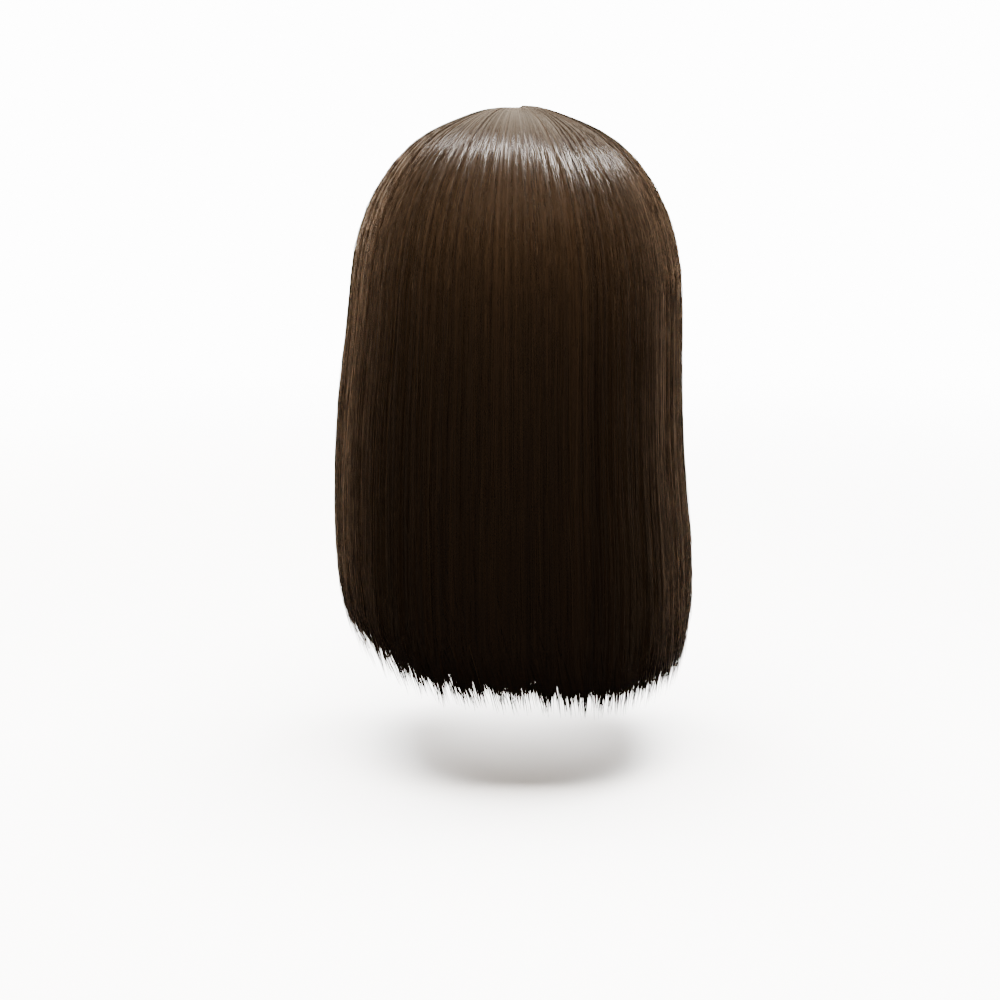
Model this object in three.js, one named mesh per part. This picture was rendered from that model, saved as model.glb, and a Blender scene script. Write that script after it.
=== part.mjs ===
// A straight shoulder-length bob wig in the shape that it has when worn. A thin cap sits on the
// head, a parting strip lies on it, an under layer of hair hangs round the back and sides, and a
// top layer falls from the parting and the crown to one blunt hem.
//
// Millimetres, +Z up, the face opening looks along -Y. The origin is the inside of the cap's top,
// where it sits on the head. Left and right are the wearer's, so +X is left.
import * as THREE from "three";
import { mergeVertices } from "three/addons/utils/BufferGeometryUtils.js";

// Head that the cap is shaped to.
const headWidth = 152;
const headBack = 97; // from the vertical axis to the back of the head
const headFront = 92; // from the vertical axis to the brow
const headRise = 98; // from the widest level up to the seat

// Cap and parting.
const capWall = 1.5;
const capNapeDrop = 74; // from the widest level down to the nape edge
const partingWidth = 4; // between the two halves of the hair
const partingStripThickness = 0.9;
const partingBackAngle = 4; // degrees in front of the vertical axis
const partingFrontAngle = 58;
const clearance = 0.4; // between layers and between neighbouring panels

// Hair, measured outwards from the cap.
const hairOverTop = 9;
const hairOverSide = 15.5;
const hairOverBack = 12.5;
const hairOverFront = 8;
const curtainLength = 195; // from the widest level down to the hem
const curtainThickness = 13; // of both layers together, at the hem
const hemFlare = 10; // how far the sides stand out beyond the widest level of the head
const napeTuck = 5; // how far the back falls in below the back of the head
const underLayerShort = 4; // how much higher the under layer ends

// Locks.
const lockWidth = 14;
const lockRelief = 1.3;
const lockPoint = 4; // how far a lock's middle hangs below its edges
const lockStagger = 2.2; // how much neighbouring locks differ in length
const columnsPerLock = 4;

// Panels, in degrees round the head from the middle of the back.
const backPanelEnd = 52;
const sidePanelEnd = 106;
const frontPanelEnd = 137;

// Form of the dome and the way the strands lie on it.
const roundness = 2.15; // exponent of its outlines, 2 for ellipses and more for fuller ones
const fallHeightBack = 48; // degrees above the widest level at which the strands turn downwards
const fallHeightFront = 32;

// How the hair's thickness varies, as shares of the full thickness.
const crownRoot = 0.84; // where the hair leaves the crown
const partingRoot = 0.42; // where it leaves the parting
const frontEdgeShare = 0.42; // along the front edges
const underShare = 0.46; // the under layer's part of it
const rootRun = 0.16; // share of the way to the widest level in which the roots rise
const underStart = 0.3; // share of that way at which the under layer starts

// Shares of the way from the roots to the widest level at which the dome has a row of points.
const domeRows = [0, 0.06, 0.16, 0.28, 0.4, 0.52, 0.64, 0.76, 0.88];

// Sections of the curtain below the widest level. drop is a share of the curtain's length, left
// and right are shares of hemFlare, back is a share of napeTuck, and headSide and headBack are
// shares of the head's own half width and back. free is 0 where the hair's inside follows the
// head and 1 where it hangs clear of it.
const sections = [
  { drop: 0, left: 0, right: 0, back: 0, headSide: 1, headBack: 1, free: 0 },
  { drop: 0.09, left: 0.3, right: 0.02, back: 0, headSide: 0.99, headBack: 0.985, free: 0 },
  { drop: 0.18, left: 0.52, right: 0.04, back: 0.2, headSide: 0.975, headBack: 0.94, free: 0.02 },
  { drop: 0.27, left: 0.7, right: 0.08, back: 0.5, headSide: 0.955, headBack: 0.87, free: 0.08 },
  { drop: 0.36, left: 0.86, right: 0.15, back: 0.8, headSide: 0.94, headBack: 0.8, free: 0.2 },
  { drop: 0.48, left: 1, right: 0.32, back: 1, headSide: 0.93, headBack: 0.75, free: 0.5 },
  { drop: 0.62, left: 1.08, right: 0.62, back: 0.9, headSide: 0.93, headBack: 0.72, free: 0.8 },
  { drop: 0.78, left: 1.04, right: 0.9, back: 0.5, headSide: 0.93, headBack: 0.72, free: 1 },
  { drop: 0.87, left: 0.92, right: 0.9, back: 0.3, headSide: 0.93, headBack: 0.72, free: 1 },
  { drop: 0.94, left: 0.5, right: 0.45, back: 0.3, headSide: 0.93, headBack: 0.72, free: 1 },
  { drop: 1, left: 0.1, right: 0.05, back: 0.5, headSide: 0.93, headBack: 0.72, free: 1 },
];

// The cap's lower edge. angle is a share of the front panel's edge, from the middle of the back,
// and drop is a share of capNapeDrop.
const capEdge = [
  { angle: 0, drop: 1 },
  { angle: 0.26, drop: 0.94 },
  { angle: 0.42, drop: 0.66 },
  { angle: 0.6, drop: 0.3 },
  { angle: 0.72, drop: 0.34 },
  { angle: 0.8, drop: 0.5 },
  { angle: 0.88, drop: 0.4 },
  { angle: 1, drop: 0.1 },
];

// The hem. angle is a share of the front panel's edge, negative on the right, and rise is a share
// of the curtain's length.
const hem = [
  { angle: -1, rise: 0 },
  { angle: -0.8, rise: -0.02 },
  { angle: -0.6, rise: -0.03 },
  { angle: -0.4, rise: -0.05 },
  { angle: -0.2, rise: -0.027 },
  { angle: 0, rise: 0 },
  { angle: 0.2, rise: 0.012 },
  { angle: 0.4, rise: 0.066 },
  { angle: 0.5, rise: 0.092 },
  { angle: 0.6, rise: 0.083 },
  { angle: 0.8, rise: 0.04 },
  { angle: 1, rise: 0 },
];

const degree = Math.PI / 180;
const widestLevel = -headRise;
const frontEdge = frontPanelEnd * degree;
const fanEdge = backPanelEnd * degree;
const sideEdge = sidePanelEnd * degree;

// Value of a column at x, straight between the rows of a table.
function read(table, key, column, x) {
  const last = table.length - 1;
  let k = 0;
  while (k < last - 1 && x > table[k + 1][key]) k += 1;
  const [a, b] = [table[k], table[k + 1]];
  return THREE.MathUtils.lerp(a[column], b[column], (x - a[key]) / (b[key] - a[key]));
}

function smooth(low, high, x) {
  return THREE.MathUtils.smoothstep(x, low, high);
}

// Half widths of the two surfaces that all layers lie between, at a drop below the widest level:
// the inner one 1 clearance outside the cap, and the outer one on the hair's crests.
function innerForm(side, drop) {
  const free = read(sections, "drop", "free", drop);
  const outer = outerForm(side, drop);
  const head = {
    across: (headWidth / 2) * read(sections, "drop", "headSide", drop),
    back: headBack * read(sections, "drop", "headBack", drop),
    front: headFront * read(sections, "drop", "headSide", drop),
  };
  const skin = capWall + clearance;
  return {
    across: THREE.MathUtils.lerp(head.across + skin, outer.across - curtainThickness, free),
    back: THREE.MathUtils.lerp(head.back + skin, outer.back - curtainThickness, free),
    front: THREE.MathUtils.lerp(head.front + skin, outer.front - curtainThickness, free),
    rise: headRise + skin,
  };
}

function outerForm(side, drop) {
  return {
    across: headWidth / 2 + capWall + hairOverSide + hemFlare * read(sections, "drop", side, drop),
    back: headBack + capWall + hairOverBack - napeTuck * read(sections, "drop", "back", drop),
    front: headFront + capWall + hairOverFront,
    rise: headRise + capWall + hairOverTop,
  };
}

// How far forward the strands of an angle leave the head: 0 at the crown and 1 at the front.
function forwardShare(angle) {
  const past = (Math.abs(angle) - fanEdge) / (frontEdge - fanEdge);
  return THREE.MathUtils.clamp(past, 0, 1);
}

// A direction from the middle of the head, at an angle round it and a height above the widest
// level.
function towards(angle, height) {
  const level = Math.cos(height);
  return new THREE.Vector3(Math.sin(angle) * level, Math.cos(angle) * level, Math.sin(height));
}

// Direction of a strand's point. It leaves the parting or the crown, bends over and arrives at
// the widest level straight downwards, on a quadratic curve.
function domeDirection(angle, share, startGap) {
  const forward = forwardShare(angle);
  const tilt = THREE.MathUtils.lerp(partingBackAngle, partingFrontAngle, forward) * degree;
  const fall = THREE.MathUtils.lerp(fallHeightBack, fallHeightFront, forward) * degree;
  const root = new THREE.Vector3(0, -Math.sin(tilt), Math.cos(tilt));
  const bend = towards(angle, fall);
  const start = startGap / (2 * root.distanceTo(bend));
  const u = THREE.MathUtils.lerp(start, 1, share);
  return root
    .multiplyScalar((1 - u) ** 2)
    .addScaledVector(bend, 2 * u * (1 - u))
    .addScaledVector(towards(angle, 0), u ** 2);
}

// Where a direction meets a form.
function onForm(form, direction) {
  const size = ["x", "y", "z"].reduce((sum, k) => sum + Math.abs(direction[k]) ** roundness, 0);
  const unit = direction.clone().divideScalar(size ** (1 / roundness));
  return new THREE.Vector3(
    form.across * unit.x,
    (unit.y > 0 ? form.back : form.front) * unit.y,
    widestLevel + form.rise * unit.z,
  );
}

function hemLength(angle) {
  return curtainLength * (1 - read(hem, "angle", "rise", angle / frontEdge));
}

// Point of a strand. along runs from 0 at the root over 1 at the widest level to 2 at the hem.
// depth is 0 on the inner surface and 1 on the outer one, and lift is added to it in millimetres.
function strandPoint(angle, along, depth, lift, startGap, extra = 0) {
  const side = angle < 0 ? "right" : "left";
  const drop = Math.max(0, along - 1);
  const direction = domeDirection(angle, Math.min(along, 1), startGap);
  const inner = onForm(innerForm(side, drop), direction);
  const outward = onForm(outerForm(side, drop), direction).sub(inner);
  const reach = depth * outward.length() + lift;
  const point = inner.addScaledVector(outward.normalize(), reach);
  point.z -= drop * hemLength(angle) + extra;
  return point;
}

// Hair starts this far from the parting, as an angle on the dome.
const hairGap = partingWidth / 2 / (headWidth / 2);

function hairPoint(angle, along, depth, lift, extra) {
  return strandPoint(angle, along, depth, lift, hairGap, extra);
}

// Share of the full thickness that the hair reaches, less by the roots and the front edges.
function fullness(angle, along) {
  const part = smooth(fanEdge, (fanEdge + sideEdge) / 2, Math.abs(angle));
  const root = THREE.MathUtils.lerp(crownRoot, partingRoot, part);
  const rise = Math.sin((Math.min(along / rootRun, 1) * Math.PI) / 2);
  const front = smooth(sideEdge, frontEdge, Math.abs(angle));
  return (root + (1 - root) * rise) * THREE.MathUtils.lerp(1, frontEdgeShare, front * front);
}

// Depth of the surface between the under layer and the top layer.
function layerDepth(angle, along) {
  const below = smooth(underStart, 1, along);
  const behind = 1 - smooth(sideEdge * 0.9, (sideEdge + frontEdge) / 2, Math.abs(angle));
  return underShare * below * behind;
}

// Moves a point of a panel away from the panel's edges, so that neighbours stay one clearance
// apart. across is 0 at the panel's first edge and 1 at its last.
function inset(place, angle, across) {
  const step = 0.002;
  const tangent = place(angle + step).sub(place(angle - step)).normalize();
  return place(angle).addScaledVector(tangent, (clearance / 2) * (1 - 2 * across));
}

// A closed mesh from an outer and an inner grid of points. Grids are lists of columns, with the
// rows going down. The outer one has perInner columns for each column of the inner one. An
// open top is closed by a wall, and one whose two halves meet needs none.
function shell(outer, inner, perInner, topWall = true) {
  const corners = [];
  const triangle = (...points) => points.forEach((p) => corners.push(p.x, p.y, p.z));
  const quad = (a, b, c, d) => {
    triangle(a, b, c);
    triangle(a, c, d);
  };
  const bottom = outer[0].length - 1;
  for (let i = 0; i + 1 < outer.length; i += 1)
    for (let j = 0; j < bottom; j += 1)
      quad(outer[i][j], outer[i + 1][j], outer[i + 1][j + 1], outer[i][j + 1]);
  for (let i = 0; i + 1 < inner.length; i += 1)
    for (let j = 0; j < bottom; j += 1)
      quad(inner[i][j], inner[i][j + 1], inner[i + 1][j + 1], inner[i + 1][j]);
  const [outerEnd, innerEnd] = [outer.at(-1), inner.at(-1)];
  for (let j = 0; j < bottom; j += 1) {
    quad(outer[0][j], outer[0][j + 1], inner[0][j + 1], inner[0][j]);
    quad(outerEnd[j + 1], outerEnd[j], innerEnd[j], innerEnd[j + 1]);
  }
  for (let lock = 0; lock + 1 < inner.length; lock += 1) {
    const middle = Math.floor(perInner / 2);
    for (const row of topWall ? [0, bottom] : [bottom]) {
      const turned = row === 0;
      const put = (a, b, c) => (turned ? triangle(b, a, c) : triangle(a, b, c));
      for (let k = 0; k < perInner; k += 1) {
        const column = lock * perInner + k;
        const near = inner[k < middle ? lock : lock + 1][row];
        put(outer[column][row], outer[column + 1][row], near);
      }
      put(outer[lock * perInner + middle][row], inner[lock + 1][row], inner[lock][row]);
    }
  }
  return weld(corners);
}

// Joins equal corners and leaves out the triangles that have no area.
function weld(corners) {
  const loose = new THREE.BufferGeometry();
  loose.setAttribute("position", new THREE.Float32BufferAttribute(corners, 3));
  const geometry = mergeVertices(loose, 1e-3);
  const index = geometry.index.array;
  const kept = [];
  for (let i = 0; i < index.length; i += 3) {
    const [a, b, c] = index.slice(i, i + 3);
    if (a !== b && b !== c && c !== a) kept.push(a, b, c);
  }
  geometry.setIndex(kept);
  geometry.computeVertexNormals();
  return geometry;
}

// Lengths of the locks differ in a fixed, uneven rhythm round the head.
function stagger(angle) {
  return lockStagger * Math.sin(angle * 19) * Math.cos(angle * 7);
}

const rows = [...domeRows, ...sections.map((section) => 1 + section.drop)];

// Angles of the lock edges of a panel.
function lockEdges(from, to) {
  const reach = headWidth / 2 + capWall + hairOverSide;
  const locks = Math.max(2, Math.round(((to - from) * reach) / lockWidth));
  return Array.from({ length: locks + 1 }, (_, k) => from + ((to - from) * k) / locks);
}

// A panel of the top layer, with a shallow groove between its locks and a point on each.
function topPanel(from, to) {
  const edges = lockEdges(from, to);
  const locks = edges.length - 1;
  const outer = [];
  for (let i = 0; i <= locks * columnsPerLock; i += 1) {
    const across = i / (locks * columnsPerLock);
    const angle = from + (to - from) * across;
    const bulge = Math.sin(Math.PI * ((i / columnsPerLock) % 1));
    const lock = Math.min(Math.floor(i / columnsPerLock), locks - 1);
    outer.push(
      rows.map((along) => {
        const groove = lockRelief * (1 - bulge) * smooth(rootRun, 0.7, along);
        const end = along === 2 ? (lockPoint + stagger(edges[lock])) * bulge : 0;
        const place = (a) => hairPoint(a, along, fullness(a, along), -groove, end);
        return inset(place, angle, across);
      }),
    );
  }
  const inner = edges.map((angle, k) =>
    rows.map((along) => {
      const place = (a) => hairPoint(a, along, layerDepth(a, along), 0, 0);
      return inset(place, angle, k / locks);
    }),
  );
  return shell(outer, inner, columnsPerLock);
}

// A panel of the under layer, between the cap and the top layer, with a plain lower edge.
function underPanel(from, to) {
  const edges = lockEdges(from, to);
  const locks = edges.length - 1;
  const underRows = rows.filter((along) => along > (underStart + 1) / 2);
  const column = (depth, lift) => (angle, k) =>
    underRows.map((along) => {
      const short = along === 2 ? -underLayerShort : 0;
      const place = (a) => hairPoint(a, along, depth * layerDepth(a, along), lift, short);
      return inset(place, angle, k / locks);
    });
  return shell(edges.map(column(1, -clearance)), edges.map(column(0, 0)), 1);
}

// Every panel's lock edges in turn, round the whole head.
function allEdges() {
  const left = [
    ...lockEdges(fanEdge, sideEdge).slice(1),
    ...lockEdges(sideEdge, frontEdge).slice(1),
  ];
  const right = left.map((angle) => -angle).reverse();
  return [...right, ...lockEdges(-fanEdge, fanEdge), ...left];
}

// The cap shares the hair's columns and rows, so that the faces of both stay parallel. Its top
// row lies on the parting, where the left and right halves meet, and the rows below its lower
// edge fall together on that edge.
function cap() {
  const column = (lift) => (angle) => {
    const share = Math.abs(angle) / frontEdge;
    const edge = (capNapeDrop * read(capEdge, "angle", "drop", share)) / hemLength(angle);
    const top = strandPoint(angle, 0, 0, lift, 0);
    return [top, ...rows.map((along) => hairPoint(angle, Math.min(along, 1 + edge), 0, lift))];
  };
  const edges = allEdges();
  return shell(
    edges.map(column(-clearance)),
    edges.map(column(-clearance - capWall)),
    1,
    false,
  );
}

// The strip lies on the cap between the two halves of the hair, from the crown to the front.
function partingStrip() {
  const steps = 12;
  const form = innerForm("left", 0);
  const half = ((partingWidth / 2) * Math.sin(fanEdge) - clearance) / form.across;
  const column = (lift) => (sideways) =>
    Array.from({ length: steps + 1 }, (_, k) => {
      const tilt = THREE.MathUtils.lerp(partingBackAngle, partingFrontAngle, k / steps) * degree;
      const flat = Math.cos(sideways);
      const direction = new THREE.Vector3(
        Math.sin(sideways),
        -Math.sin(tilt) * flat,
        Math.cos(tilt) * flat,
      );
      const point = onForm(form, direction);
      return point.addScaledVector(direction, lift);
    });
  const across = [half, 0, -half];
  return shell(across.map(column(partingStripThickness)), across.map(column(0)), 1);
}

const material = (color, roughness) =>
  new THREE.MeshStandardMaterial({ color, roughness, metalness: 0 });
const hairMaterial = material(0x2b1c13, 0.38);
const underHairMaterial = material(0x1f140e, 0.45);
const capMaterial = material(0x2a211c, 0.85);
const stripMaterial = material(0x8d6a52, 0.8);

const wig = new THREE.Group();
wig.name = "bob_wig";

function add(name, geometry, finish) {
  const mesh = new THREE.Mesh(geometry, finish);
  mesh.name = name;
  wig.add(mesh);
}

add("wig_cap", cap(), capMaterial);
add("parting_strip", partingStrip(), stripMaterial);
add("under_hair_back", underPanel(-fanEdge, fanEdge), underHairMaterial);
add("under_hair_left", underPanel(fanEdge, sideEdge), underHairMaterial);
add("under_hair_right", underPanel(-sideEdge, -fanEdge), underHairMaterial);
add("top_hair_back", topPanel(-fanEdge, fanEdge), hairMaterial);
add("top_hair_left", topPanel(fanEdge, sideEdge), hairMaterial);
add("top_hair_right", topPanel(-sideEdge, -fanEdge), hairMaterial);
add("front_hair_left", topPanel(sideEdge, frontEdge), hairMaterial);
add("front_hair_right", topPanel(-frontEdge, -sideEdge), hairMaterial);

export default wig;
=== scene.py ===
# Straight bob wig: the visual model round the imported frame.
#
# Every point of a strand is given by three numbers: its angle round the head from the middle of
# the back (positive on the wearer's left), its place along the strand (0 at the root, 1 at the
# widest level, 2 at the tip) and its depth in the hair (0 inside, 1 outside). The forms repeat
# those of the frame, in millimetres, and become metres when a mesh is made.
import math

import bpy
import numpy as np
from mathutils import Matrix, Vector


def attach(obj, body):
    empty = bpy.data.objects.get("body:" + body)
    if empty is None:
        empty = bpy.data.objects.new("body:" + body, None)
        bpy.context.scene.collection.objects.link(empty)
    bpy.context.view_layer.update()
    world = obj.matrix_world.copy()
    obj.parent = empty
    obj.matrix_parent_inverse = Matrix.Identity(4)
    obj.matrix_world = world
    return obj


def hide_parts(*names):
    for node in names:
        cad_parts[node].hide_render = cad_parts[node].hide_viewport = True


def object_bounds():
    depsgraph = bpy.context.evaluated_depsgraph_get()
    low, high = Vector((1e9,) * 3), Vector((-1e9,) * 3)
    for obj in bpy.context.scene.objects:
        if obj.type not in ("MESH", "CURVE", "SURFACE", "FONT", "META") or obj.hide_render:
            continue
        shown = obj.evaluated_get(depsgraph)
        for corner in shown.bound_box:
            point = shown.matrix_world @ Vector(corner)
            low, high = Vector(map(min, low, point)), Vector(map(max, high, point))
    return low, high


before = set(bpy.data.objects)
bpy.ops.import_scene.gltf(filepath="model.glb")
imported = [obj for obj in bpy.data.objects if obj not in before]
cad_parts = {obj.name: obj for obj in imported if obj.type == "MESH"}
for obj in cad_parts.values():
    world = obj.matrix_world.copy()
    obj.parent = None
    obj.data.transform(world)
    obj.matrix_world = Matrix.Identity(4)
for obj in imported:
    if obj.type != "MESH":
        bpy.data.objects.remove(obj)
cad_box = [list(corner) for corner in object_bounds()]

# Sizes of the frame.
HEAD_WIDTH = 152.0
HEAD_BACK = 97.0
HEAD_FRONT = 92.0
HEAD_RISE = 98.0
CAP_WALL = 1.5
CAP_NAPE_DROP = 74.0
PARTING_WIDTH = 4.0
CLEARANCE = 0.4
HAIR_OVER_TOP = 9.0
HAIR_OVER_SIDE = 15.5
HAIR_OVER_BACK = 12.5
HAIR_OVER_FRONT = 8.0
CURTAIN_LENGTH = 195.0
CURTAIN_THICKNESS = 13.0
HEM_FLARE = 10.0
NAPE_TUCK = 5.0
FAN_EDGE = math.radians(52)
SIDE_EDGE = math.radians(106)
FRONT_EDGE = math.radians(137)
PARTING_TILT = (4.0, 58.0)
FALL_HEIGHT = (48.0, 32.0)
ROUNDNESS = 2.15
CROWN_ROOT = 0.84
PARTING_ROOT = 0.42
FRONT_EDGE_SHARE = 0.42
UNDER_SHARE = 0.46
UNDER_START = 0.3
ROOT_RUN = 0.16
HAIR_GAP = PARTING_WIDTH / HEAD_WIDTH  # of the roots from the parting, as an angle on the dome

# Tables of the frame: drop below the widest level, flare of both sides, tuck of the back, the
# head's own shares, and how free the hair hangs.
DROPS = [0, 0.09, 0.18, 0.27, 0.36, 0.48, 0.62, 0.78, 0.87, 0.94, 1]
LEFT = [0, 0.3, 0.52, 0.7, 0.86, 1, 1.08, 1.04, 0.92, 0.5, 0.1]
RIGHT = [0, 0.02, 0.04, 0.08, 0.15, 0.32, 0.62, 0.9, 0.9, 0.45, 0.05]
TUCK = [0, 0, 0.2, 0.5, 0.8, 1, 0.9, 0.5, 0.3, 0.3, 0.5]
HEAD_SIDE = [1, 0.99, 0.975, 0.955, 0.94, 0.93, 0.93, 0.93, 0.93, 0.93, 0.93]
HEAD_REAR = [1, 0.985, 0.94, 0.87, 0.8, 0.75, 0.72, 0.72, 0.72, 0.72, 0.72]
FREE = [0, 0, 0.02, 0.08, 0.2, 0.5, 0.8, 1, 1, 1, 1]
HEM_ANGLE = [-1, -0.8, -0.6, -0.4, -0.2, 0, 0.2, 0.4, 0.5, 0.6, 0.8, 1]
HEM_RISE = [0, -0.02, -0.03, -0.05, -0.027, 0, 0.012, 0.066, 0.092, 0.083, 0.04, 0]
CAP_ANGLE = [0, 0.26, 0.42, 0.6, 0.72, 0.8, 0.88, 1]
CAP_DROP = [1, 0.94, 0.66, 0.3, 0.34, 0.5, 0.4, 0.1]

# Strands. Lengths are in millimetres, and angles round the head in radians.
QUICK_SHARE = 1.0  # of all strands
STRAND_WIDTH = 0.62
WIDTH_RANGE = (0.6, 1.25)  # how strands differ in width
TIP_WIDTH = 0.14  # share of the width at the tip
TIP_TAPER = 9.0  # length over which a strand gets thinner towards its tip
ROUGHNESS = 0.28  # how far strands lie off the even surface
DRIFT = 0.008  # how far a strand wanders by itself, in three waves
DRIFT_SIZES = (1, 0.5, 0.22)
DRIFT_RATES = (2.0, 4.5, 9.0)
SWAY = 0.006  # how far neighbouring strands wander together
TUFT = 0.062  # from one tuft of the hem to the next
TUFT_PULL = 0.012  # how far the tips move towards the middle of their tuft
SINK = 1.6  # how deep a strand that comes out of the hair further down starts
NORMAL_LEAN = math.radians(4)  # how far the normals lean up and down a strand
NORMAL_SPREAD = math.radians(22)  # how far they turn apart at its edges, so that it looks round
LIGHT_SHARE = 0.02  # of strands that are lighter than the others: partly their own tone, partly painted highlight on single strands

# The hair's colour map: dark to light across, root to tip along.
SLOTS = 256
TONE_RANGE = (0.01, 0.985)

# Bodies of hair under the strands.
BODY_SHORTER = 4.5
BODY_ROUGHNESS = 0.22
BODY_SINK = 1.5  # how far they lie below the surface on which the strands lie
UV_STEP = 0.004  # width of the strips that close a body, on the colour map

# Places of a strand's rows: from the parting to the tip, and as shares from where it starts.
ROWS_LONG = np.array(
    [0, 0.015, 0.04, 0.08, 0.12, 0.16, 0.2, 0.24, 0.28, 0.325, 0.38, 0.46, 0.57, 0.7, 0.85, 1.04]
    + [1.25, 1.5, 1.75, 1.9, 1.96, 2]
)
ROWS_LATE = np.array([0, 0.04, 0.1, 0.2, 0.32, 0.46, 0.6, 0.72, 0.83, 0.92, 0.97, 1])
ROWS_INSIDE = np.array([0, 0.1, 0.25, 0.42, 0.6, 0.78, 0.92, 1])

# The cap: distance between its sewn rows, how proud they stand, and its run from the crown to
# the widest level.
WEFT_PITCH = 12.5
WEFT_HEIGHT = 0.35
CAP_RUN = 125.0


class Table:
    """A table read with rounded corners between its rows."""

    STEPS = 401
    SPREAD = 14  # steps over which a corner is rounded

    def __init__(self, x, y):
        self.x = np.linspace(x[0], x[-1], self.STEPS)
        line = np.interp(self.x, x, y)
        padded = np.pad(line, self.SPREAD, mode="reflect", reflect_type="odd")
        kernel = np.hanning(2 * self.SPREAD + 3)[1:-1]
        self.y = np.convolve(padded, kernel / kernel.sum(), mode="valid")

    def __call__(self, x):
        return np.interp(x, self.x, self.y)


flare_left = Table(DROPS, LEFT)
flare_right = Table(DROPS, RIGHT)
tuck = Table(DROPS, TUCK)
head_side = Table(DROPS, HEAD_SIDE)
head_rear = Table(DROPS, HEAD_REAR)
freedom = Table(DROPS, FREE)
hem_rise = Table(HEM_ANGLE, HEM_RISE)
cap_drop = Table(CAP_ANGLE, CAP_DROP)


def lerp(a, b, t):
    return a + (b - a) * t


def smooth(low, high, x):
    """0 up to low and 1 from high on, or the other way round if low is the larger one."""
    t = np.clip((x - low) / (high - low), 0, 1)
    return t * t * (3 - 2 * t)


def hump(x, middle, width):
    """1 at the middle, and less to both sides."""
    return np.exp(-(((x - middle) / width) ** 2))


def unit(vectors):
    length = np.linalg.norm(vectors, axis=-1, keepdims=True)
    return vectors / np.maximum(length, 1e-9)


def forward_share(angle):
    return np.clip((np.abs(angle) - FAN_EDGE) / (FRONT_EDGE - FAN_EDGE), 0, 1)


def towards(angle, height):
    level = np.cos(height)
    return np.stack([np.sin(angle) * level, np.cos(angle) * level, np.sin(height)], -1)


def dome_direction(angle, share):
    """Direction of a strand's point on the dome, as in the frame."""
    forward = forward_share(angle)
    tilt = np.radians(lerp(*PARTING_TILT, forward))
    fall = np.radians(lerp(*FALL_HEIGHT, forward))
    root = np.stack([np.zeros_like(tilt), -np.sin(tilt), np.cos(tilt)], -1)
    bend = towards(angle, fall)
    start = HAIR_GAP / (2 * np.linalg.norm(root - bend, axis=-1))
    u = lerp(start, 1, share)[..., None]
    return root * (1 - u) ** 2 + bend * 2 * u * (1 - u) + towards(angle, 0 * angle) * u**2


def on_form(direction, across, back, front, rise):
    """Where a direction meets a form of these half widths."""
    size = (np.abs(direction) ** ROUNDNESS).sum(-1) ** (1 / ROUNDNESS)
    x, y, z = np.moveaxis(direction / size[..., None], -1, 0)
    return np.stack([across * x, np.where(y > 0, back, front) * y, rise * z - HEAD_RISE], -1)


def hem_length(angle):
    return CURTAIN_LENGTH * (1 - hem_rise(np.clip(angle / FRONT_EDGE, -1, 1)))


def place(angle, along, depth, lift=0.0, extra=0.0):
    """Points of strands, as in the frame. lift is in millimetres, and extra lengthens them."""
    angle, along, depth, lift, extra = np.broadcast_arrays(angle, along, depth, lift, extra)
    drop = np.clip(along - 1, 0, None)
    side = 0.5 + 0.5 * np.tanh(angle / 0.12)  # 0 on the right and 1 on the left
    flare = HEM_FLARE * lerp(flare_right(drop), flare_left(drop), side)
    across = HEAD_WIDTH / 2 + CAP_WALL + HAIR_OVER_SIDE + flare
    back = HEAD_BACK + CAP_WALL + HAIR_OVER_BACK - NAPE_TUCK * tuck(drop)
    front = HEAD_FRONT + CAP_WALL + HAIR_OVER_FRONT + 0 * drop
    free = freedom(drop)
    skin = CAP_WALL + CLEARANCE
    inner = (
        lerp(HEAD_WIDTH / 2 * head_side(drop) + skin, across - CURTAIN_THICKNESS, free),
        lerp(HEAD_BACK * head_rear(drop) + skin, back - CURTAIN_THICKNESS, free),
        lerp(HEAD_FRONT * head_side(drop) + skin, front - CURTAIN_THICKNESS, free),
        HEAD_RISE + skin,
    )
    outer = (across, back, front, HEAD_RISE + CAP_WALL + HAIR_OVER_TOP)
    direction = dome_direction(angle, np.minimum(along, 1))
    inside = on_form(direction, *inner)
    outward = on_form(direction, *outer) - inside
    length = np.linalg.norm(outward, axis=-1)
    point = inside + outward * ((depth * length + lift) / length)[..., None]
    point[..., 2] -= drop * (hem_length(angle) + extra)
    return point


def fullness(angle, along):
    """Share of the full thickness that the hair reaches, as in the frame."""
    part = smooth(FAN_EDGE, (FAN_EDGE + SIDE_EDGE) / 2, np.abs(angle))
    root = lerp(CROWN_ROOT, PARTING_ROOT, part)
    rise = np.sin(np.minimum(along / ROOT_RUN, 1) * np.pi / 2)
    front = smooth(SIDE_EDGE, FRONT_EDGE, np.abs(angle))
    return (root + (1 - root) * rise) * lerp(1, FRONT_EDGE_SHARE, front * front)


def layer_depth(angle, along):
    """Depth of the surface between the under layer and the top layer, as in the frame."""
    below = smooth(UNDER_START, 1, along)
    behind = 1 - smooth(SIDE_EDGE * 0.9, (SIDE_EDGE + FRONT_EDGE) / 2, np.abs(angle))
    return UNDER_SHARE * below * behind


class Waves:
    """A smooth random field over angle and place along the strand, about -1 to 1.

    pitch is the usual width of its waves, in hundredths of a radian, and along is how fast they
    may change along the strand.
    """

    COUNT = 7

    def __init__(self, seed, pitch, along):
        rng = np.random.default_rng(seed)
        self.a = 2 * np.pi / (pitch / 100) * rng.uniform(0.6, 1.5, self.COUNT)
        self.b = rng.uniform(-along, along, self.COUNT)
        self.c = rng.uniform(0, 2 * np.pi, self.COUNT)

    def __call__(self, angle, along=0.0):
        total = 0 * (angle + along)
        for a, b, c in zip(self.a, self.b, self.c):
            total = total + np.sin(a * angle + b * along + c)
        return total / math.sqrt(self.COUNT * 0.9)


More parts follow.
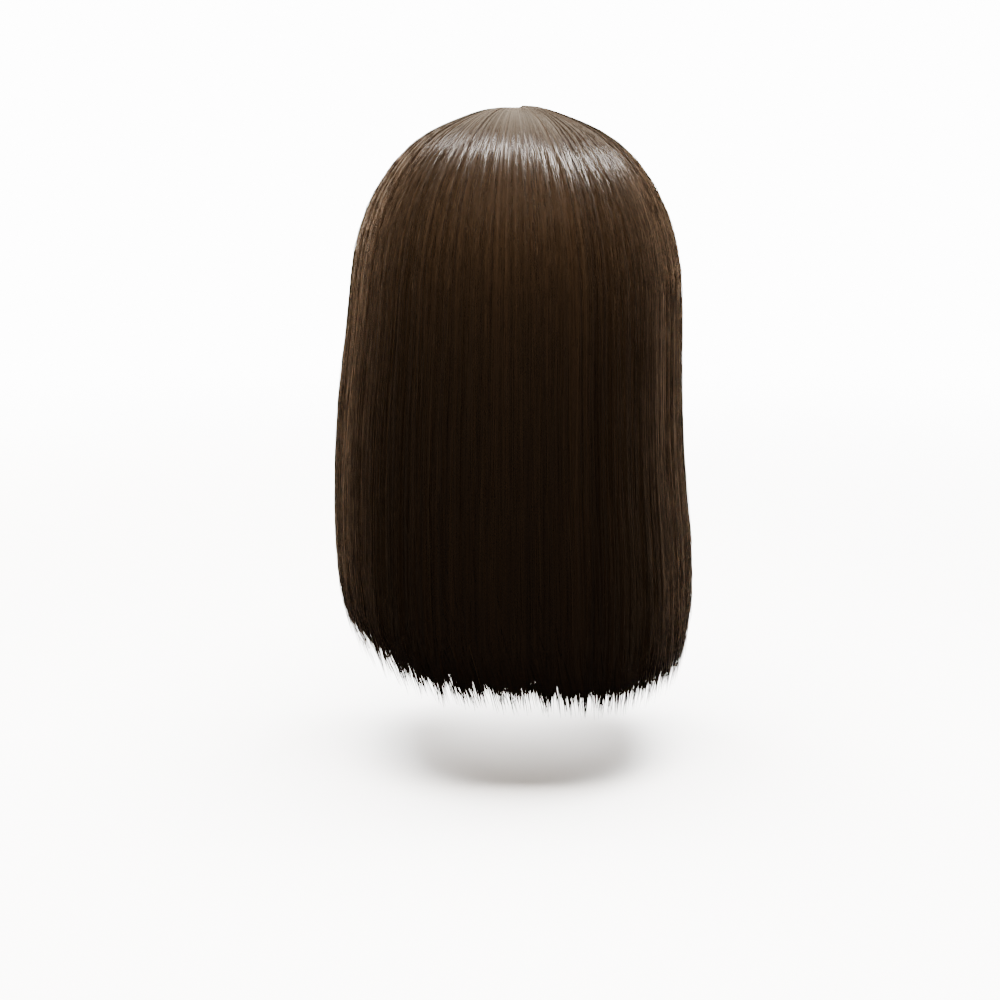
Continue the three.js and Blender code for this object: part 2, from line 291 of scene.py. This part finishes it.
locks = Waves(11, 17.0, 1.6)
tresses = Waves(12, 6.0, 2.6)
wisps = Waves(13, 2.2, 3.0)
sway = Waves(14, 9.0, 5.0)
lean = Waves(15, 7.0, 4.0)
shade = Waves(16, 5.0, 1.5)
shade_wide = Waves(17, 30.0, 2.0)
hem_tufts = Waves(18, 9.0, 0.0)


def tuft_phase(angle):
    return angle * 2 * np.pi / TUFT + 2.6 * hem_tufts(angle)


def relief(angle, along):
    """How far the locks stand proud of the plain form, in millimetres."""
    grown = smooth(0.05, 0.65, along)
    uneven = np.tanh(0.5 * locks(angle, along) + 0.36 * tresses(angle, along)) * 0.8
    # The crown is a little fuller on the right of the parting, and the hair lies flat beside it.
    crown = 1.3 * smooth(0.1, 0.6, -angle) * smooth(2.2, 1.4, -angle) * smooth(0.17, 0.03, along)
    flat = 1.5 * hump(along, 0.25, 0.12) * smooth(0.5, 1.0, np.abs(angle))
    return grown * (uneven - 0.2) + crown - flat


def shine_tilt(angle):
    """Lean of the strands' normals on the crown: the band of shine lies higher on the left."""
    return np.radians(3.0 + 5.0 * smooth(-0.1, 0.55, angle))


class Mesh:
    """Collects grids of points, and makes one object of them."""

    def __init__(self):
        self.parts = []
        self.count = 0

    def grid(self, points, uv, normals=None, closed=False):
        """points, uv and normals have the shape (grids, columns, rows, ...).

        Without normals the mesh keeps its own. A closed grid goes on from its last column to its
        first.
        """
        if normals is None:
            normals = np.zeros(points.shape)
        grids, columns, rows = points.shape[:3]
        index = np.arange(grids * columns * rows).reshape(grids, columns, rows) + self.count
        if closed:
            index = np.concatenate([index, index[:, :1]], 1)
        a = index[:, :-1, :-1]
        b = index[:, 1:, :-1]
        c = index[:, 1:, 1:]
        d = index[:, :-1, 1:]
        faces = np.stack([a, b, c, d], -1).reshape(-1, 4)
        self.parts.append((points.reshape(-1, 3), faces, normals.reshape(-1, 3), uv.reshape(-1, 2)))
        self.count += grids * columns * rows

    def make(self, name, material, slot, *nodes):
        """nodes are those of the frame that the piece replaces."""
        points, faces, normals, uv = (np.concatenate(part) for part in zip(*self.parts))
        mesh = bpy.data.meshes.new(name)
        mesh.vertices.add(len(points))
        mesh.vertices.foreach_set("co", (points * 0.001).astype(np.float32).ravel())
        mesh.loops.add(faces.size)
        mesh.loops.foreach_set("vertex_index", faces.astype(np.int32).ravel())
        mesh.polygons.add(len(faces))
        mesh.polygons.foreach_set("loop_start", np.arange(0, faces.size, 4, dtype=np.int32))
        mesh.polygons.foreach_set("use_smooth", np.ones(len(faces), dtype=bool))
        mesh.update(calc_edges=True)
        for layer in ("strand", "OFBake"):
            data = mesh.uv_layers.new(name=layer).data
            data.foreach_set("uv", uv[faces.ravel()].astype(np.float32).ravel())
        mesh.normals_split_custom_set_from_vertices(normals.astype(np.float32))
        mesh.materials.append(material)
        piece = bpy.data.objects.new(name, mesh)
        bpy.context.scene.collection.objects.link(piece)
        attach(piece, "root")
        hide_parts(*nodes)
        print(name, len(faces) * 2, "triangles")


def strands(
    mesh, rng, count, span, rows, start, depth, ends,
    inner=None, rough=ROUGHNESS, width=STRAND_WIDTH, tone=0.0,
):
    """Adds thin ribbons. start and depth are functions of the number of strands.

    rows runs from 0 to 2 for strands from the parting, and from 0 to 1 for strands that come out
    of the hair further down and are spread from their start to their tip.
    """
    count = int(count * QUICK_SHARE)
    low, high = span
    base = low + (high - low) * (np.arange(count) + rng.random(count)) / count
    home = base[:, None]
    begin = start(count)[:, None]
    rooted = rows[-1] == 2
    if rooted:
        # On the crown each strand has its rows at other places, so that they don't line up in
        # the shine.
        step = np.where(rows > 0.05, 0.9 * smooth(1.3, 0.5, rows), 0) * np.diff(rows, append=2)
        along = rows + step * rng.random((count, 1))
    else:
        along = begin + (2 - begin) * rows[None, :]
    grown = smooth(0.1, 1.3, along)
    tip = smooth(1.86, 2, along)

    own = DRIFT * rng.standard_normal((count, 3, 1))
    turn = rng.uniform(0, 2 * np.pi, (count, 3, 1))
    sizes = np.array(DRIFT_SIZES)[:, None]
    rates = np.array(DRIFT_RATES)[:, None]
    drift = (own * sizes * np.sin(rates * along[:, None] + turn)).sum(1)
    angle = home + grown * (drift + SWAY * sway(home, along))
    # Strands gather into tufts at the hem, and lean a little towards the wearer's right.
    extra = ends(count, base)[:, None]
    gather = 0.2 + 0.07 * np.maximum(extra - 2.5, 0) + rng.uniform(-0.15, 0.15, (count, 1))
    gather = np.minimum(gather, 0.95)
    angle = angle - tip * gather * TUFT_PULL * np.sin(tuft_phase(home))
    swept = 0.012 + 0.035 * smooth(-0.9, -0.1, home)
    swept = swept * (1 + 0.5 * hem_tufts(home * 0.6)) + rng.normal(0, 0.014, (count, 1))
    angle = angle - tip**2 * swept
    limit = FRONT_EDGE * 1.004
    angle = np.clip(angle, -limit, limit)

    level = depth(count)[:, None]
    full = fullness(angle, along)
    inside = inner(angle, along) if inner else 0.0
    deep = inside + (full - inside) * level
    rough = rough * lerp(0.4, 1, smooth(0.2, 0.8, along))
    even = relief(angle, along) * level
    lift = even + rough * (wisps(angle, along) * 0.6 + rng.standard_normal((count, 1)))
    if not rooted:
        fresh = 1 - smooth(0, 0.14, along - begin)
        lift = lift - SINK * fresh
    # Roots start at different heights of the wall beside the parting.
    root = 1 - smooth(0, 0.05, along)
    lift = lift - root * full[:, :1] * HAIR_OVER_TOP * rng.uniform(0.1, 0.85, (count, 1))
    # Tips stand out a little, more so on the right side.
    outward = 0.2 + 2.2 * hump(home, -1.25, 0.4)
    lift = lift + tip**2 * (outward + rng.normal(0, 1.3, (count, 1)))
    points = place(angle, along, deep, lift, extra)

    # The directions of each strand follow the even surface, so that its shine stays in one band.
    def surface(a):
        return place(a, along, deep, even, extra)

    side = unit(surface(angle + 0.004) - surface(angle - 0.004))
    down = unit(np.gradient(surface(angle), axis=1))
    out = unit(np.cross(side, down))
    side = unit(np.cross(down, out))

    twist = rng.normal(0, 0.25, (count, 1, 1))
    flat = side * np.cos(twist) + out * np.sin(twist)
    width = width * rng.uniform(*WIDTH_RANGE, (count, 1))
    if rooted:
        start_width = lerp(0.35, 1, smooth(0, 0.22, along))
    else:
        start_width = lerp(0.1, 1, smooth(0, 0.05, along - begin))
    to_tip = (2 - along) * hem_length(angle)
    width = width * start_width * lerp(TIP_WIDTH, 1, np.clip(to_tip / TIP_TAPER, 0, 1))
    half = flat * width[..., None] / 2
    ribbon = np.stack([points - half, points + half], 1)

    waver = 0.35 * rng.standard_normal((count, 1)) * np.sin(3 * along + turn[:, 0])
    tilt = NORMAL_LEAN * (0.6 * lean(angle, along) + waver)
    tilt = tilt + shine_tilt(home) * smooth(0.75, 0.45, along)
    facing = unit(out + down * tilt[..., None]) * math.cos(NORMAL_SPREAD)
    sideways = side * math.sin(NORMAL_SPREAD)
    normals = np.stack([facing - sideways, facing + sideways], 1)

    shades = 0.5 + 0.1 * shade(base) + 0.05 * shade_wide(base) + 0.075 * rng.standard_normal(count)
    # A few strands are lighter: partly their own tone, partly painted highlight on single strands.
    shades = np.where(rng.random(count) < LIGHT_SHARE, shades + 0.3, shades)
    shades = np.clip(shades + tone, *TONE_RANGE)
    slot = np.floor(shades * SLOTS)[:, None] + 0 * along
    uv = np.stack([np.stack([(slot + x) / SLOTS, along / 2], -1) for x in (0.15, 0.85)], 1)
    mesh.grid(ribbon, uv, normals)


def body(mesh, span, columns, rows, outside, inside, seed):
    """Adds a closed body of hair with fine relief. outside and inside give depth and lift."""
    low, high = span
    rng = np.random.default_rng(seed)
    across = np.linspace(0, 1, columns)
    angle = (low + (high - low) * across)[:, None] + 0 * rows[None, :]
    along = rows[None, :] + 0 * angle
    tips = rng.normal(0, 0.8, (columns, 1)) - BODY_SHORTER
    fine = BODY_ROUGHNESS * rng.standard_normal((columns, 1)) * smooth(0.05, 0.3, along)
    outer = place(angle, along, *outside(angle, along, fine), extra=tips)
    inner = place(angle, along, *inside(angle, along, fine), extra=tips)
    tone = 0.42 + 0.15 * shade(angle[:, 0]) + 0.12 * rng.standard_normal(columns)
    tone = np.clip(tone, *TONE_RANGE)[:, None] + 0 * along
    uv = np.stack([tone, along / 2], -1)
    ring = np.concatenate([outer, inner[::-1]], 0)
    ring_uv = np.concatenate([uv, uv[::-1]], 0)
    mesh.grid(ring[None], ring_uv[None], closed=True)
    for row, beside in ((0, UV_STEP), (-1, -UV_STEP)):
        # The ends of the ring are closed by strips between its outside and its inside.
        edge = np.stack([outer[:, row], inner[:, row]], 1)
        edge_uv = np.stack([uv[:, row], uv[:, row] + [UV_STEP, beside]], 1)
        if row == 0:
            edge, edge_uv = edge[::-1], edge_uv[::-1]
        mesh.grid(edge[None], edge_uv[None])


# Materials.
def socket(node, name, value):
    node.inputs[name].default_value = value


def new_material(name):
    material = bpy.data.materials.new(name)
    material.use_nodes = True
    tree = material.node_tree
    return material, tree, tree.nodes["Principled BSDF"]


def ramp(tree, stops):
    node = tree.nodes.new("ShaderNodeValToRGB")
    elements = node.color_ramp.elements
    while len(elements) > 1:
        elements.remove(elements[-1])
    elements[0].position, elements[0].color = stops[0][0], (*stops[0][1], 1)
    for position, color in stops[1:]:
        elements.new(position).color = (*color, 1)
    return node


def hair_material(name, brightness, roughness):
    material, tree, shader = new_material(name)
    link = tree.links.new
    uv = tree.nodes.new("ShaderNodeUVMap")
    uv.uv_map = "strand"
    parts = tree.nodes.new("ShaderNodeSeparateXYZ")
    link(uv.outputs["UV"], parts.inputs[0])
    tones = ramp(
        tree,
        [
            (0.0, (0.0080, 0.0050, 0.0030)),
            (0.3, (0.0150, 0.0092, 0.0053)),
            (0.5, (0.0200, 0.0128, 0.0073)),
            (0.66, (0.0245, 0.0150, 0.0086)),
            (0.82, (0.0300, 0.0195, 0.0112)),
            (1.0, (0.0440, 0.0300, 0.0180)),
        ],
    )
    link(parts.outputs["X"], tones.inputs["Fac"])
    # Uneven colour along each strand.
    stretch = tree.nodes.new("ShaderNodeMapping")
    socket(stretch, "Scale", (SLOTS, 9.0, 1.0))
    link(uv.outputs["UV"], stretch.inputs["Vector"])
    noise = tree.nodes.new("ShaderNodeTexNoise")
    noise.noise_dimensions = "2D"
    socket(noise, "Scale", 1.0)
    socket(noise, "Detail", 2.0)
    link(stretch.outputs[0], noise.inputs["Vector"])
    vary = tree.nodes.new("ShaderNodeMapRange")
    socket(vary, "From Min", 0.3)
    socket(vary, "From Max", 0.7)
    socket(vary, "To Min", 0.88 * brightness)
    socket(vary, "To Max", 1.14 * brightness)
    link(noise.outputs["Fac"], vary.inputs["Value"])
    # Roots are a little lighter than lengths. Ends are darker and redder: painted shade, as less
    # light reaches the lower hair.
    ends = ramp(tree, [(0.0, (1.1, 1.12, 1.12)), (0.45, (1, 1, 1)), (1.0, (0.5, 0.46, 0.42))])
    link(parts.outputs["Y"], ends.inputs["Fac"])
    first = tree.nodes.new("ShaderNodeVectorMath")
    first.operation = "MULTIPLY"
    link(tones.outputs["Color"], first.inputs[0])
    link(ends.outputs["Color"], first.inputs[1])
    second = tree.nodes.new("ShaderNodeVectorMath")
    second.operation = "SCALE"
    link(first.outputs[0], second.inputs[0])
    link(vary.outputs[0], second.inputs["Scale"])
    link(second.outputs[0], shader.inputs["Base Color"])
    socket(shader, "Roughness", roughness)
    socket(shader, "Specular IOR Level", 0.5)
    socket(shader, "Sheen Weight", 0.3)
    socket(shader, "Sheen Roughness", 0.4)
    socket(shader, "Sheen Tint", (0.5, 0.36, 0.25, 1))
    return material


def cloth_material(name, color, dark, scale, roughness):
    """Fine knitted cloth: crossed waves for the threads, with their colour and relief."""
    material, tree, shader = new_material(name)
    link = tree.links.new
    where = tree.nodes.new("ShaderNodeTexCoord")
    threads = []
    for direction in ("X", "Z"):
        wave = tree.nodes.new("ShaderNodeTexWave")
        wave.bands_direction = direction
        socket(wave, "Scale", scale)
        socket(wave, "Distortion", 1.2)
        socket(wave, "Detail", 1.0)
        link(where.outputs["Object"], wave.inputs["Vector"])
        threads.append(wave)
    net = tree.nodes.new("ShaderNodeMath")
    net.operation = "MAXIMUM"
    link(threads[0].outputs["Fac"], net.inputs[0])
    link(threads[1].outputs["Fac"], net.inputs[1])
    tones = ramp(tree, [(0.35, dark), (0.85, color)])
    link(net.outputs[0], tones.inputs["Fac"])
    link(tones.outputs["Color"], shader.inputs["Base Color"])
    bump = tree.nodes.new("ShaderNodeBump")
    socket(bump, "Strength", 0.5)
    socket(bump, "Distance", 0.0004)
    link(net.outputs[0], bump.inputs["Height"])
    link(bump.outputs["Normal"], shader.inputs["Normal"])
    socket(shader, "Roughness", roughness)
    return material


hair = hair_material("hair", 1.15, 0.24)
# The under layer is a darker copy of the hair: painted shade for hair that lies under the top
# layer.
under = hair_material("under_hair", 0.9, 0.42)
cap_cloth = cloth_material("cap_net", (0.060, 0.044, 0.033), (0.020, 0.014, 0.010), 260, 0.85)
strip_cloth = cloth_material("strip_cloth", (0.32, 0.19, 0.115), (0.2, 0.11, 0.065), 420, 0.8)


# Hair.
def hem_ends(rng, longer=3.5):
    """Gives the function for how far strands pass the hem: a blunt cut with a few wisps."""

    def ends(count, base):
        size = 0.7 + 0.5 * hem_tufts(base * 1.7 + 3)
        extra = size * np.cos(tuft_phase(base)) - np.abs(rng.normal(0, 2.2, count)) + longer
        # The hem is a little shorter at both sides, and more so on the right.
        extra = extra - 3.0 * hump(np.abs(base), 1.35, 0.3) - 2.5 * smooth(-0.6, -0.9, base)
        short = rng.random(count) < 0.3
        extra = np.where(short, extra - rng.exponential(6.0, count), extra)
        wisp = rng.random(count) < 0.24
        return np.where(wisp, extra + 1.0 + 11.0 * rng.random(count) ** 1.3, extra)

    return ends


def top_hair(name, span, seed, long, late, inside, columns):
    """A panel of the top layer: a body of so many columns under three kinds of strands.

    long is the number of strands from the root, late of those that come out further down, and
    inside of those on the panel's inside.
    """
    mesh = Mesh()
    rng = np.random.default_rng(seed)
    ends = hem_ends(rng)
    rows = np.concatenate([np.linspace(0.015, 1, 18), np.linspace(1, 2, 12)[1:]])
    body(
        mesh, span, columns, rows,
        lambda a, s, fine: (fullness(a, s), relief(a, s) + fine - BODY_SINK),
        lambda a, s, fine: (layer_depth(a, s), 0.3 - fine),
        seed,
    )
    strands(
        mesh, rng, long, span, ROWS_LONG,
        start=np.zeros,
        depth=lambda n: 1 - 0.05 * rng.random(n),
        ends=ends,
    )
    strands(
        mesh, rng, late, span, ROWS_LATE,
        start=lambda n: rng.beta(1.3, 1.5, n) * 0.7 + 0.14,
        depth=lambda n: 1 - 0.16 * rng.random(n) ** 1.5,
        ends=ends,
    )
    # Strands on the inside are a little darker: painted shade inside the hair.
    strands(
        mesh, rng, inside, span, ROWS_INSIDE,
        start=lambda n: 0.12 + 0.8 * rng.random(n),
        depth=lambda n: 0.25 * rng.random(n),
        ends=ends, inner=layer_depth, width=0.8, tone=-0.08,
    )
    mesh.make("shown_" + name, hair, "hair", name)


def under_hair(name, span, seed, inside, columns):
    """A panel of the under layer: a body of so many columns, with strands on its inside."""
    mesh = Mesh()
    rng = np.random.default_rng(seed)
    first = (UNDER_START + 1) / 2
    rows = np.concatenate([np.linspace(first, 1, 6), np.linspace(1, 2, 12)[1:]])
    body(
        mesh, span, columns, rows,
        lambda a, s, fine: (layer_depth(a, s), -CLEARANCE + 0 * fine),
        lambda a, s, fine: (0 * a, 0.6 + fine),
        seed,
    )
    strands(
        mesh, rng, inside, span, ROWS_INSIDE,
        start=lambda n: first + 0.3 * rng.random(n),
        depth=lambda n: 0.1 + 0.2 * rng.random(n),
        ends=hem_ends(rng, longer=-1.5), width=0.8, rough=0.2,
    )
    mesh.make("shown_" + name, under, "under_hair", name)


top_hair("top_hair_back", (-FAN_EDGE, FAN_EDGE), 101, 2250, 3250, 500, 220)
top_hair("top_hair_left", (FAN_EDGE, SIDE_EDGE), 102, 1300, 2000, 400, 120)
top_hair("top_hair_right", (-SIDE_EDGE, -FAN_EDGE), 103, 1300, 2000, 400, 120)
top_hair("front_hair_left", (SIDE_EDGE, FRONT_EDGE), 104, 1000, 1100, 900, 80)
top_hair("front_hair_right", (-FRONT_EDGE, -SIDE_EDGE), 105, 1000, 1100, 900, 80)
under_hair("under_hair_back", (-FAN_EDGE, FAN_EDGE), 106, 1800, 160)
under_hair("under_hair_left", (FAN_EDGE, SIDE_EDGE), 107, 900, 90)
under_hair("under_hair_right", (-SIDE_EDGE, -FAN_EDGE), 108, 900, 90)


# Cap.
def cap():
    """The cap, with a sewn row of hair every WEFT_PITCH on its inside."""
    mesh = Mesh()
    angle = np.linspace(-FRONT_EDGE, FRONT_EDGE, 150)[:, None]
    edge = CAP_NAPE_DROP * cap_drop(np.abs(angle) / FRONT_EDGE) / hem_length(angle)
    share = np.concatenate([np.linspace(0, 1, 46)[1:], 1 + np.linspace(0, 1, 26)[1:]])[None, :]
    along = np.where(share <= 1, share, 1 + (share - 1) * edge)
    weft = hump(share * CAP_RUN % WEFT_PITCH / WEFT_PITCH, 0.5, 0.12)
    outer = place(angle, along, 0.0, -CLEARANCE)
    inner = place(angle, along, 0.0, -CLEARANCE - CAP_WALL - WEFT_HEIGHT * weft)
    # The outside takes the left half of the map, and the inside the right half.
    half = [0.49, 1]
    uv = np.stack([angle / (2 * FRONT_EDGE) + 0.5 + 0 * along, along / 2], -1)
    ring = np.concatenate([outer, inner[::-1]], 0)
    ring_uv = np.concatenate([uv * half, 1 - uv[::-1] * half], 0)
    mesh.grid(ring[None], ring_uv[None], closed=True)
    lower = np.stack([outer[:, -1], inner[:, -1]], 1)
    lower_uv = np.stack([uv[:, -1] * half, uv[:, -1] * half + [0, -0.01]], 1)
    mesh.grid(lower[None], lower_uv[None])
    mesh.make("shown_cap", cap_cloth, "cap", "wig_cap")


cap()
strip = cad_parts["parting_strip"]
strip.data.materials.clear()
strip.data.materials.append(strip_cloth)

# Stage, light and camera, in metres.
FLOOR_DROP = 0.05
FLOOR_RADIUS = 30
FADE = (0.35, 1.6)  # distances at which the floor starts and ends turning into the white ground
WHITE = 14.0
WARM = (1.0, 0.82, 0.64)
RIM = (1.0, 0.68, 0.42)
SHINE = (1.0, 0.93, 0.86)
DAY = (1.0, 0.9, 0.74)
PURE = (1, 1, 1)

stage_only = bpy.data.collections.new("stage_only")
bpy.context.scene.collection.children.link(stage_only)


def make_floor():
    """A pale floor that fades into the white ground, and that the hair doesn't mirror."""
    at = (0, 0, cad_box[0][2] - FLOOR_DROP)
    bpy.ops.mesh.primitive_circle_add(
        vertices=96, radius=FLOOR_RADIUS, fill_type="TRIFAN", location=at
    )
    floor = bpy.context.object
    floor.name = "floor"
    material, tree, shader = new_material("floor")
    socket(shader, "Base Color", (0.9, 0.9, 0.9, 1))
    socket(shader, "Roughness", 0.9)
    socket(shader, "Specular IOR Level", 0.1)
    link = tree.links.new
    where = tree.nodes.new("ShaderNodeTexCoord")
    far = tree.nodes.new("ShaderNodeVectorMath")
    far.operation = "LENGTH"
    link(where.outputs["Object"], far.inputs[0])
    fade = tree.nodes.new("ShaderNodeMapRange")
    fade.interpolation_type = "SMOOTHSTEP"
    socket(fade, "From Min", FADE[0])
    socket(fade, "From Max", FADE[1])
    link(far.outputs["Value"], fade.inputs["Value"])
    glow = tree.nodes.new("ShaderNodeEmission")
    socket(glow, "Strength", WHITE)
    mix = tree.nodes.new("ShaderNodeMixShader")
    link(fade.outputs[0], mix.inputs[0])
    link(shader.outputs[0], mix.inputs[1])
    link(glow.outputs[0], mix.inputs[2])
    link(mix.outputs[0], tree.nodes["Material Output"].inputs["Surface"])
    floor.data.materials.append(material)
    floor.visible_diffuse = False
    floor.visible_glossy = False
    stage_only.objects.link(floor)


def make_world():
    """A dim warm sky for the hair, which the camera sees as white."""
    world = bpy.data.worlds.new("studio")
    bpy.context.scene.world = world
    world.use_nodes = True
    tree = world.node_tree
    link = tree.links.new
    sky = tree.nodes["Background"]
    socket(sky, "Color", (1.0, 0.93, 0.85, 1))
    socket(sky, "Strength", 0.06)
    seen = tree.nodes.new("ShaderNodeBackground")
    socket(seen, "Color", (1, 1, 1, 1))
    socket(seen, "Strength", WHITE)
    rays = tree.nodes.new("ShaderNodeLightPath")
    mix = tree.nodes.new("ShaderNodeMixShader")
    link(rays.outputs["Is Camera Ray"], mix.inputs[0])
    link(sky.outputs[0], mix.inputs[1])
    link(seen.outputs[0], mix.inputs[2])
    link(mix.outputs[0], tree.nodes["World Output"].inputs["Surface"])


def area(name, at, target, size, power, color, only=None, diffuse=True, glossy=True, turn=0):
    """A rectangular light, turned by so many degrees. With only, it lights that collection."""
    data = bpy.data.lights.new(name, "AREA")
    data.shape = "RECTANGLE"
    data.size, data.size_y = size
    data.energy = power
    data.color = color
    light = bpy.data.objects.new(name, data)
    bpy.context.scene.collection.objects.link(light)
    light.location = at
    light.rotation_euler = (Vector(target) - Vector(at)).to_track_quat("-Z", "Y").to_euler()
    light.rotation_euler.z += math.radians(turn)
    light.visible_diffuse = diffuse
    light.visible_glossy = glossy
    if only:
        light.light_linking.receiver_collection = only


make_floor()
make_world()

# Three lights that only shine make the band on the crown, and a fourth one lights its colour.
for name, at, size, power, turn in (
    ("crown_middle", (-0.15, -0.08, 1.08), (0.8, 0.06), 2.4, 0),
    ("crown_right", (-0.85, -0.37, 1.0), (0.7, 0.08), 31, 32),
    ("crown_left", (0.6, -0.24, 1.05), (0.65, 0.08), 18, -27),
):
    area(name, at, (at[0], at[1], 0), size, power, SHINE, diffuse=False, turn=turn)
area("crown_fill", (-0.1, -0.16, 1.1), (-0.1, -0.16, 0), (1.2, 0.3), 44, SHINE, glossy=False)
area("top_light", (0, -0.8, 0.9), (0, 0, 0), (1.4, 0.9), 9, DAY)
area("left_light", (0.75, -0.95, -0.02), (0, 0, -0.17), (0.7, 0.6), 11, RIM, glossy=False)
area("front_light", (0.45, -1.8, 0.3), (0, 0, -0.15), (1.2, 1.0), 10, WARM)
area("soft_light", (0, 0.4, 0.4), (0, 0.1, -0.1), (0.4, 0.2), 7, WARM, glossy=False)
area("floor_light", (0, 0, 1.7), (0, 0, -1), (2.4, 2.4), 620, PURE, only=stage_only)

# The photograph's view: from behind, nine degrees above the middle of the wig.
ELEVATION = math.radians(9)
DISTANCE = 1.2
MIDDLE = -0.15
AIM = (0.009, 0, -0.213)
camera_data = bpy.data.cameras.new("camera")
camera_data.sensor_width = 36
camera_data.lens = 75.6
camera_data.clip_end = 100
camera = bpy.data.objects.new("camera", camera_data)
bpy.context.scene.collection.objects.link(camera)
camera.location = (0, DISTANCE * math.cos(ELEVATION), MIDDLE + DISTANCE * math.sin(ELEVATION))
view = Vector(AIM) - camera.location
camera.rotation_euler = view.to_track_quat("-Z", "Y").to_euler()
bpy.context.scene.camera = camera
